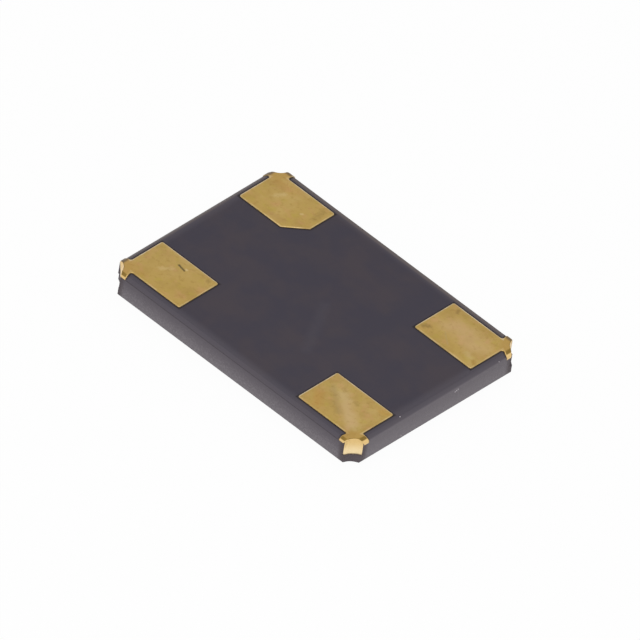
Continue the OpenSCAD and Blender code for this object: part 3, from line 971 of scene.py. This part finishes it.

# %% [markdown]
# The gold gets painted shade where it tilts over a bevel, and a darker painted shade on the
# two far bevels. Along its rim it gets a painted highlight, and along its two far edges a
# painted sheen. The lining of a notch and the lowered edges of the metal are smoother, and
# painted paler as highlight. So the material goes from the face's patches and marks to these
# edges, and last to the lining.

# %% Gold material
def make_gold(name):
    """Worn gold plating with the marks of one terminal."""
    material, shader, place = start_material("gold_" + name, roughness=0.45, metallic=1.0)
    x, y, z = xyz(place)
    facing = facing_up(place)
    colour = GOLD
    for offset, kind, strength, tint in PATCHES:
        colour = blend(use(clouds, place + offset, **kind) * strength, colour, tint)
    face_z = TOP_Z + SKIN
    wear = [((*start, face_z), (*end, face_z), *how) for start, end, *how in WEAR[name]]
    colour = marks(colour, place, wear)

    ring = ramp(from_notch(place, name), EAR_R - 0.04, EAR_R + 0.08, 1.0, 0.0)
    inside = use(terminal_edge, place) * -1.0
    # Painted shade where the gold tilts over a bevel.
    fold_shade = ramp(facing, 0.995, 0.90) * ramp(inside, 0.015, 0.03)
    # Painted shade on the gold over the two far bevels.
    far_shade = maths("MAXIMUM", ramp(x, 0.18 - HALF_L, 0.12 - HALF_L), ramp(y, HALF_W - 0.16, HALF_W - 0.10))
    uneven = use(clouds, place, Size=0.3, Low=0.35, High=0.65)
    # Painted highlight along the metal's rim.
    rim = ramp(inside, 0.010, 0.036, 1.0, 0.0) * ramp(uneven, 0.0, 1.0, 0.1, 0.45)
    colour = blend(ring * 0.6, colour, GOLD_RING)
    colour = blend(fold_shade * 0.8, colour, GOLD_FOLD_SHADE)
    colour = blend(far_shade * 0.75, colour, FAR_BEVEL_SHADE)
    colour = blend(rim, colour, GOLD_RIM_HIGHLIGHT)

    sx, sy = CORNERS[name]
    pad_top = HALF_W - MARGIN_Y if sy > 0 else -PAD_Y
    pad_left = PAD_X if sx > 0 else MARGIN_X - HALF_L
    from_side = maths("MINIMUM", abs(y - pad_top), abs(x - pad_left))
    sheen = ramp(from_side, 0.010, 0.045, 1.0, 0.0) * ramp(inside, 0.02, 0.06, 1.0, 0.0) * (1.0 - ring)
    colour = blend(sheen * ramp(uneven, 0.0, 1.0, 0.35, 0.7), colour, GOLD_SHEEN)

    # Painted highlight on upright and lowered gold, the notch's lining above all.
    lowered = ramp(z, TOP_Z - 0.02, TOP_Z - 0.04) * (1.0 - far_shade)
    upright = maths("MAXIMUM", ramp(facing, 0.60, 0.25), lowered) * ramp(inside, 0.010, 0.02)
    lining = blend(ramp(z, TOP_Z - 0.05, LEDGE_Z + 0.05), GOLD_LINING_HIGHLIGHT, GOLD_FOOT_HIGHLIGHT)
    feed(shader["Base Color"], blend(upright, colour, lining))
    flecks = use(clouds, place, **FLECKS)
    feed(shader["Roughness"], ramp(flecks, 0.0, 1.0, 0.42, 0.56) - upright * 0.12)
    add_bump(shader, use(grain, place, Size=0.022), depth=0.003)
    return material


for name in CORNERS:
    make_terminal(name, make_gold(name), CUT_1 if name == "terminal_1" else 0.0)

# %% [markdown]
# ## The seal ring and its braze
#
# Under the ceramic sits a punched ring of nickel-plated alloy, which the lid is welded to.
# It is tumbled before plating, so its edges are round. Silver braze holds it to a printed
# metal frame. The braze is liquid when it is made, draws into the ring's rounded edge and
# leaves a hollow seam. Each of the two is one section, carried round the same outline and
# closed on itself.

# %% Seal ring and braze
RING_R, RING_ROUND, ROUND_CORNER_STEPS = 0.55, 0.03, 4
SEAM_HOLLOW, SEAM_REACH, SEAM_STEPS = 0.004, 150, 6
ring_low, ring_high = box("seal_ring")
braze_top = box("ring_braze")[1].z


def inset_loop(low, high, radius, inset, level):
    """The round-cornered outline of a packed plate, drawn in by inset, at a level."""
    path = plate_outline(low.x + inset, high.x - inset, high.y - inset, radius - inset)
    return [Vector((x, y, level)) for x, y in path]


def carried_round(section):
    """A closed section, in insets from the ring's outline and levels, carried all the way round."""
    band = bmesh.new()
    loops = [inset_loop(ring_low, ring_high, RING_R, inset, level) for inset, level in section]
    skin_loops(band, loops + loops[:1], close_ends=False)
    return band


def ring_section():
    """A rectangle with rounded corners."""
    outer, inner = RING_ROUND, RING_W - RING_ROUND
    lower, upper = ring_low.z + RING_ROUND, ring_high.z - RING_ROUND
    points = []
    for quarter, centre in enumerate(((outer, lower), (inner, lower), (inner, upper), (outer, upper))):
        start = 180 + 90 * quarter
        points += arc_points(centre, RING_ROUND, start, start + 90, ROUND_CORNER_STEPS)
    return points


def braze_section():
    """What fills the gap between the ring's rounded edges and the printed frame."""
    under_ring = arc_points((RING_ROUND, ring_high.z - RING_ROUND), RING_ROUND, SEAM_REACH, 90,
                            ROUND_CORNER_STEPS)
    seam = []
    for k in range(SEAM_STEPS):
        straight = Vector((0, braze_top)).lerp(under_ring[0], k / SEAM_STEPS)
        seam.append(straight + Vector((SEAM_HOLLOW * math.sin(math.pi * k / SEAM_STEPS), 0)))
    half = seam + under_ring
    return half + [Vector((RING_W - p.x, p.y)) for p in reversed(half)]


print("points in the ring's section:", len(ring_section()), "and in the braze's:", len(braze_section()))

# %% [markdown]
# The metals of the seal are all some shade of worn nickel or silver. What tells them apart
# is their tooth: tumbling leaves it even, rolling draws it out along the sheet, and braze
# freezes smooth. One function takes these differences as its values. The lid is also
# tinted by the heat of its weld, in a band along its edge, so the distance to that edge
# is a group that the lid and the weld share.

# %% Metals of the seal
lid_low, lid_high = box("lid")
LID_R = RING_R - (ring_high.x - lid_high.x)
NO_LIMIT = 1000.0

lid_edge, given, result = group("lid_edge", "Distance")
beyond = abs(given["Vector"]) - (lid_high.x - LID_R, lid_high.y - LID_R, NO_LIMIT)
from_corner = maths("LENGTH", maths("MAXIMUM", beyond, (0.0, 0.0, 0.0)))
beyond_x, beyond_y, _ = xyz(beyond)
flank = maths("MINIMUM", maths("MAXIMUM", beyond_x, beyond_y), 0.0)
feed(result, LID_R - (from_corner + flank))

STRAW, HEAT_GREY = srgb(186, 164, 118), srgb(150, 148, 156)


def make_metal(name, tint, shade, roughness, tooth, depth, drawn_out=(1.0, 1.0, 1.0), heated=False):
    """Metal with a cloudy tint and a fine tooth, which may be drawn out along one way."""
    material, shader, place = start_material(name, roughness=roughness, metallic=1.0)
    patches = use(clouds, place, Size=0.5, Low=0.35, High=0.7)
    colour = blend(patches * 0.6, srgb(*tint), srgb(*shade))
    if heated:
        inward = use(lid_edge, place)
        straw = ramp(inward, 0.08, 0.22, 0.6, 0.0) * ramp(patches, 0.0, 1.0, 1.0, 0.5)
        grey = ramp(inward, 0.12, 0.2) * ramp(inward, 0.2, 0.42, 0.6, 0.0)
        colour = blend(straw, blend(grey, colour, HEAT_GREY), STRAW)
    feed(shader["Base Color"], colour)
    relief = use(grain, place * drawn_out, Size=tooth)
    feed(shader["Roughness"], ramp(relief, 0.3, 0.7, roughness - 0.06, roughness + 0.08))
    add_bump(shader, relief, depth)
    return material


nickel = make_metal("tumbled_nickel", (190, 186, 172), (168, 163, 148), 0.36, 0.05, 0.003)
silver_braze = make_metal("silver_braze", (206, 201, 188), (182, 174, 156), 0.28, 0.12, 0.002)
printed_metal = make_metal("printed_metal", (158, 152, 138), (134, 129, 118), 0.55, 0.02, 0.004)
finish_piece(carried_round(ring_section()), "seal_ring_tumbled", nickel,
             ["seal_ring"], sharp=40)
finish_piece(carried_round(braze_section()), "ring_braze_seam", silver_braze,
             ["ring_braze"], sharp=40)

# %% [markdown]
# ## The lid
#
# The lid is a thin rolled plate. Two wheels seal it by running along its edges with a
# pulsed current, and their pressure sinks its rim a little below its flat middle. It faces
# down here, so the part stands on that flat middle. The lower outline of the plate is a
# list of insets, each with its share of the rim's sinking. Above it the edge is rounded.

# %% Lid
RIM_SINK = 0.014
LOWER_LID = [(0.23, 0.0), (0.20, 0.0), (0.15, 0.15), (0.11, 0.7), (0.08, 1.0), (0.012, 1.0),
             (0.003, 1.3), (0.0, 1.8)]
UPPER_LID = [(0.0, 0.008), (0.003, 0.002), (0.010, 0.0)]
plate = bmesh.new()
lid_path = [(inset, lid_low.z + share * RIM_SINK) for inset, share in LOWER_LID]
lid_path += [(inset, lid_high.z - below) for inset, below in UPPER_LID]
skin_loops(plate, [inset_loop(lid_low, lid_high, LID_R, inset, level) for inset, level in lid_path])
rolled = make_metal("rolled_nickel", (200, 198, 190), (182, 179, 170), 0.32, 0.05, 0.002,
                    drawn_out=(0.08, 1.0, 1.0), heated=True)
finish_piece(plate, "lid_plate", rolled, ["lid"], sharp=40)

# %% [markdown]
# ## The weld along the lid
#
# Each pulse of the welding current leaves a low round spot, and the spots overlap into a
# scaly track. Something that repeats along a path is work for Geometry Nodes: the path is
# cut into equal steps, and a flattened ball is set on each, turned along the path. A few
# helpers start and end every tree, and one runs a tree and keeps its mesh.

# %% Helpers for Geometry Nodes
def node_tree(name, inputs):
    """An empty tree with named inputs. Gives the tree, its inputs and the socket at its end."""
    tree = bpy.data.node_groups.new(name, "GeometryNodeTree")
    for socket, kind in {"Geometry": "Geometry", **inputs, "Material": "Material"}.items():
        tree.interface.new_socket(name=socket, in_out="INPUT", socket_type="NodeSocket" + kind)
    tree.interface.new_socket(name="Geometry", in_out="OUTPUT", socket_type="NodeSocketGeometry")
    return tree, Outlets(tree.nodes.new("NodeGroupInput")), tree.nodes.new("NodeGroupOutput").inputs[0]


def transformed(shape, **how):
    """A shape moved, turned or scaled."""
    return add(shape.tree, "GeometryNodeTransform", {"Geometry": shape, **how})[0]


def end_tree(shape, material, end):
    """Shrinks the shape from millimetres, makes its instances real and sets the material."""
    small = transformed(shape, Scale=(MM, MM, MM))
    real = add(shape.tree, "GeometryNodeRealizeInstances", {"Geometry": small})[0]
    feed(end, add(shape.tree, "GeometryNodeSetMaterial", {"Geometry": real, "Material": material})[0])


def grow(name, tree, points, edges, values, material, replaces=()):
    """Runs a tree on a mesh of points and edges, and keeps the result as a plain piece."""
    seed_mesh = bpy.data.meshes.new(name + "_start")
    seed_mesh.from_pydata(points, edges, [])
    maker = put(name + "_maker", seed_mesh)
    modifier = maker.modifiers.new("nodes", "NODES")
    modifier.node_group = tree
    sockets = {item.name: item.identifier for item in tree.interface.items_tree if item.in_out == "INPUT"}
    for socket, value in {**values, "Material": material}.items():
        modifier[sockets[socket]] = value
    mesh = bpy.data.meshes.new_from_object(maker.evaluated_get(bpy.context.evaluated_depsgraph_get()))
    maker.modifiers.clear()
    bpy.data.objects.remove(maker)
    return dress(mesh, name, material, replaces, sharp=60)


def random_vector(tree, low, high, seed):
    """A random vector for each point."""
    return add(tree, "FunctionNodeRandomValue", {0: low, 1: high, 8: seed}, data_type="FLOAT_VECTOR")[0]


print("helpers for Geometry Nodes ready")

# %% [markdown]
# The path of the weld is the lid's own outline, drawn in a little, at the level of the sunk
# rim. The pitch of the spots is that of the pulses, and no two spots are quite the same size.

# %% Weld track
WELD_INSET, WELD_PITCH, SPOT_SIZE = 0.046, 0.07, (0.044, 0.042, 0.011)

weld, given, end = node_tree("weld_track", {"Spot Size": "Vector", "Pitch": "Float", "Seed": "Int"})
track = add(weld, "GeometryNodeMeshToCurve", {0: given["Geometry"]})[0]
stepped = add(weld, "GeometryNodeResampleCurve", {"Curve": track, "Length": given["Pitch"]},
              mode="LENGTH")[0]
tangent = add(weld, "GeometryNodeInputTangent")[0]
turned = add(weld, "FunctionNodeAlignRotationToVector", {"Vector": tangent}, axis="X")[0]
ball = add(weld, "GeometryNodeMeshIcoSphere", {"Radius": 1.0, "Subdivisions": 2})[0]
sizes = random_vector(weld, (0.9, 0.85, 0.8), (1.1, 1.1, 1.2), given["Seed"])
spots = add(weld, "GeometryNodeInstanceOnPoints",
            {"Points": stepped, "Instance": transformed(ball, Scale=given["Spot Size"]),
             "Rotation": turned, "Scale": sizes})[0]
end_tree(spots, given["Material"], end)

track_points = inset_loop(lid_low, lid_high, LID_R, WELD_INSET, lid_low.z + RIM_SINK)
count = len(track_points)
grow("lid_weld_track", weld, track_points, [(i, (i + 1) % count) for i in range(count)],
     {"Spot Size": SPOT_SIZE, "Pitch": WELD_PITCH, "Seed": 4},
     make_metal("weld_nickel", (184, 178, 164), (150, 142, 126), 0.30, 0.03, 0.001, heated=True))

# %% [markdown]
# ## The bond wires
#
# Six gold wires join the chip to its bond fingers. A bonding machine melts the wire's end
# to a ball on the chip, lifts it almost straight up, and draws it over in a low loop to a
# flattened foot on the finger. So a wire follows a rule, and one tree makes all six from
# their two ends. The chip faces the lid, so here the loop hangs down.

# %% Tree of a bond wire
LIFT, SWEEP, SWEEP_LIFT = 1.75, 0.45, 0.55

wire_tree, given, end = node_tree("bond_wire", {"Ball": "Vector", "Foot": "Vector", "Loop": "Float",
                                                "Wire Radius": "Float", "Ball Size": "Vector",
                                                "Foot Size": "Vector"})
rise = add(wire_tree, "ShaderNodeCombineXYZ", {2: given["Loop"] * -1.0})[0]
near_ball = given["Ball"] + rise * LIFT
near_foot = given["Foot"] + (given["Ball"] - given["Foot"]) * SWEEP + rise * SWEEP_LIFT
route = add(wire_tree, "GeometryNodeCurvePrimitiveBezierSegment",
            {"Resolution": 24, "Start": given["Ball"], "Start Handle": near_ball,
             "End Handle": near_foot, "End": given["Foot"]}, mode="POSITION")[0]
section = add(wire_tree, "GeometryNodeCurvePrimitiveCircle",
              {"Resolution": 12, "Radius": given["Wire Radius"]})[0]
wire = add(wire_tree, "GeometryNodeCurveToMesh",
           {"Curve": route, "Profile Curve": section, "Fill Caps": True})[0]
joined = add(wire_tree, "GeometryNodeJoinGeometry")
for which in ("Foot", "Ball"):
    round_end = add(wire_tree, "GeometryNodeMeshUVSphere", {"Segments": 20, "Rings": 10, "Radius": 0.5})[0]
    round_end = transformed(round_end, Translation=given[which], Scale=given[which + " Size"])
    feed(joined.node.inputs[0], round_end)
feed(joined.node.inputs[0], wire)
end_tree(joined[0], given["Material"], end)
print("the wire's tree has", len(wire_tree.nodes), "nodes")

# %% [markdown]
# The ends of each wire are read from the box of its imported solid, which reaches from the
# ball on the chip to the foot on the finger. Drawn gold wire is bright, with faint lines.

# %% Bond wires
WIRE_R, WIRE_LOOP = 0.0125, 0.05
BALL_D, BALL_H, FOOT_W = 0.08, 0.026, 0.06
fine_gold = make_metal("drawn_gold", (232, 196, 118), (214, 176, 98), 0.24, 0.02, 0.0005,
                       drawn_out=(1.0, 0.1, 1.0))
for index in range(1, 7):
    name = f"bond_wire_{index}"
    low, high = box(name)
    side = 1 if low.y > 0 else -1
    across = (low.x + high.x) / 2
    near, far = sorted((abs(low.y), abs(high.y)))
    ends = {"Ball": (across, side * (near + BALL_D / 2), chip_low.z - BALL_H / 2),
            "Foot": (across, side * (far - BALL_D / 2), high.z - BALL_H / 2)}
    grow(name + "_loop", wire_tree, [(0, 0, 0)], [],
         {**ends, "Loop": WIRE_LOOP, "Wire Radius": WIRE_R, "Ball Size": (BALL_D, BALL_D, BALL_H),
          "Foot Size": (FOOT_W, BALL_D, BALL_H)}, fine_gold, [name])

# %% [markdown]
# ## Crumbs on the broken side
#
# Snapping the sheet leaves a few pale crumbs of ceramic on the sides. They are tiny, but
# they catch the light against the dark body. A crumb is a ball with its points pushed
# about by noise, and each one is turned and sized at random, always the same way because
# the seed is fixed. Some sit on the side, at a distance along it and up from its foot, and
# some on the bevel, at a distance along it and out from its upper edge.

# %% Crumbs
CRUMB_SIZE, CRUMB_SUNK, CRUMB_LUMPINESS = 0.032, 0.002, 0.7
FULL_TURN = 6.28
ON_SIDE = [(0.52, 0.415), (0.56, 0.43), (0.60, 0.44), (-1.02, 0.08)]
ON_BEVEL = [(-1.05, 0.028), (1.82, 0.087)]

crumb_tree, given, end = node_tree("crumbs", {"Size": "Float", "Lumpiness": "Float", "Seed": "Int"})
pebble = add(crumb_tree, "GeometryNodeMeshIcoSphere", {"Radius": 0.5, "Subdivisions": 2})[0]
lumps = add(crumb_tree, "ShaderNodeTexNoise", {"Scale": 2.5, "Detail": 1.0})[1] - (0.5, 0.5, 0.5)
crumb = add(crumb_tree, "GeometryNodeSetPosition",
            {"Geometry": pebble, "Offset": lumps * given["Lumpiness"]})[0]
turns = random_vector(crumb_tree, (0.0, 0.0, 0.0), (FULL_TURN, FULL_TURN, FULL_TURN), given["Seed"])
shape = random_vector(crumb_tree, (0.6, 0.6, 0.6), (1.2, 1.2, 1.2), given["Seed"])
crumbs = add(crumb_tree, "GeometryNodeInstanceOnPoints",
             {"Points": given["Geometry"], "Instance": crumb, "Rotation": turns,
              "Scale": shape * given["Size"]})[0]
end_tree(crumbs, given["Material"], end)

bevel_width, bevel_depth = SHORT_BEVEL
places = [(HALF_L - CRUMB_SUNK, y, FRAME_Z + up_side) for y, up_side in ON_SIDE]
places += [(FACE_X + out, y, TOP_Z - bevel_depth / bevel_width * out) for y, out in ON_BEVEL]


def make_crumb_material():
    """Pale broken ceramic."""
    material, shader, place = start_material("ceramic_crumb", roughness=0.7, specular=0.3)
    tint = use(clouds, place, Size=0.02, Low=0.4, High=0.6)
    feed(shader["Base Color"], blend(tint, srgb(212, 208, 212), srgb(178, 170, 176)))
    add_bump(shader, use(grain, place, Size=0.008), depth=0.002)
    return material


grow("side_crumbs", crumb_tree, places, [],
     {"Size": CRUMB_SIZE, "Lumpiness": CRUMB_LUMPINESS, "Seed": 11},
     make_crumb_material())

# %% [markdown]
# ## What the seal hides
#
# The quartz blank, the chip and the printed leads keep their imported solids, because their
# real shapes are as plain as those: cut plates, printed lines and dots. They only need
# their finishes, which show when the lid is off. The blank is clear quartz with its faces
# lapped, so it is smooth and slightly milky. The adhesive is resin full of silver flakes.

# %% Finishes of quartz and adhesive
def make_quartz():
    """Clear lapped quartz."""
    material, shader, place = start_material("quartz", roughness=0.12, Transmission_Weight=1.0, IOR=1.54)
    milk = use(clouds, place, Size=0.8, Low=0.4, High=0.8)
    feed(shader["Base Color"], blend(milk, srgb(240, 244, 246), srgb(222, 228, 232)))
    lapped = use(grain, place, Size=0.012)
    feed(shader["Roughness"], ramp(lapped, 0.3, 0.7, 0.06, 0.2))
    add_bump(shader, lapped, depth=0.0004)
    return material


def make_adhesive():
    """Resin with silver flakes."""
    material, shader, place = start_material("silver_adhesive", roughness=0.5, metallic=0.7)
    flakes = add(place.tree, "ShaderNodeTexVoronoi", {"Vector": place, "Scale": 45.0})
    picked = add(place.tree, "ShaderNodeSeparateColor", {0: flakes["Color"]})[0]
    bright = ramp(picked, 0.4, 0.9)
    feed(shader["Base Color"], blend(bright, srgb(140, 138, 134), srgb(206, 205, 200)))
    feed(shader["Roughness"], ramp(bright, 0.0, 1.0, 0.6, 0.3))
    add_bump(shader, flakes["Distance"], depth=0.004)
    return material


print("finishes of quartz and adhesive ready")

# %% [markdown]
# The chip's face is one fine pattern of circuit blocks with a metal pad under each ball.
# Blocks are a brick pattern with uneven tints. The pads repeat at one pitch in two rows,
# so the place is folded along that pitch and one test draws all of them.

# %% Chip material
PAD_PITCH, PAD_ROW, PAD_HALF = 0.42, 0.41, 0.048
BLOCK_BLUE, BLOCK_VIOLET, BLOCK_GAP = srgb(72, 84, 104), srgb(98, 92, 116), srgb(54, 60, 72)


def make_silicon():
    """Silicon with its circuit on one face."""
    material, shader, place = start_material("silicon", roughness=0.3, metallic=0.25, specular=0.6)
    x, y, _ = xyz(place)
    blocks = add(place.tree, "ShaderNodeTexBrick",
                 {"Vector": place, "Scale": 9.0, "Brick Width": 0.9, "Row Height": 0.55,
                  "Mortar Size": 0.03, "Mortar": BLOCK_GAP,
                  "Color1": BLOCK_BLUE, "Color2": BLOCK_VIOLET})["Color"]
    tracks = add(place.tree, "ShaderNodeTexWave", {"Vector": place, "Scale": 12.0, "Distortion": 0.0},
                 bands_direction="Y")["Fac"]
    face = blend(tracks * 0.25, blocks, srgb(126, 128, 138))
    off_x = abs(maths("WRAP", x - (CHIP_X + PAD_PITCH / 2), PAD_PITCH) - PAD_PITCH / 2)
    off_y = abs(abs(y) - PAD_ROW)
    face = blend(maths("LESS_THAN", maths("MAXIMUM", off_x, off_y), PAD_HALF), face, srgb(196, 190, 176))
    away_from_lid = ramp(facing_up(place), -0.9, -0.5)
    feed(shader["Base Color"], blend(away_from_lid, face, srgb(92, 96, 104)))
    add_bump(shader, use(grain, place, Size=0.02) * away_from_lid, depth=0.003)
    return material


print("the chip's pads repeat every", PAD_PITCH, "mm")

# %% [markdown]
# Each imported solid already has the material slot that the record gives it. Here every
# solid that is still shown gets its finish, found by the start of its name.

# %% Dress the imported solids
adhesive = make_adhesive()
film = make_metal("electrode_film", (222, 196, 132), (206, 178, 112), 0.22, 0.02, 0.0004)
FINISH_OF = {"quartz_blank": make_quartz(), "oscillator_chip": make_silicon(),
             "die_attach": adhesive, "mount_adhesive": adhesive,
             "upper_electrode": film, "lower_electrode": film,
             "inner_lead": printed_metal, "crystal_lead": printed_metal,
             "seal_metallization": printed_metal}
dressed = 0
for name, node in NODES.items():
    for start, finish in FINISH_OF.items():
        if name.startswith(start):
            node.material_slots[0].material = finish
            dressed += 1
shown = sum(not node.hide_render for node in NODES.values())
print("packed solids dressed:", dressed, "of", shown, "shown")
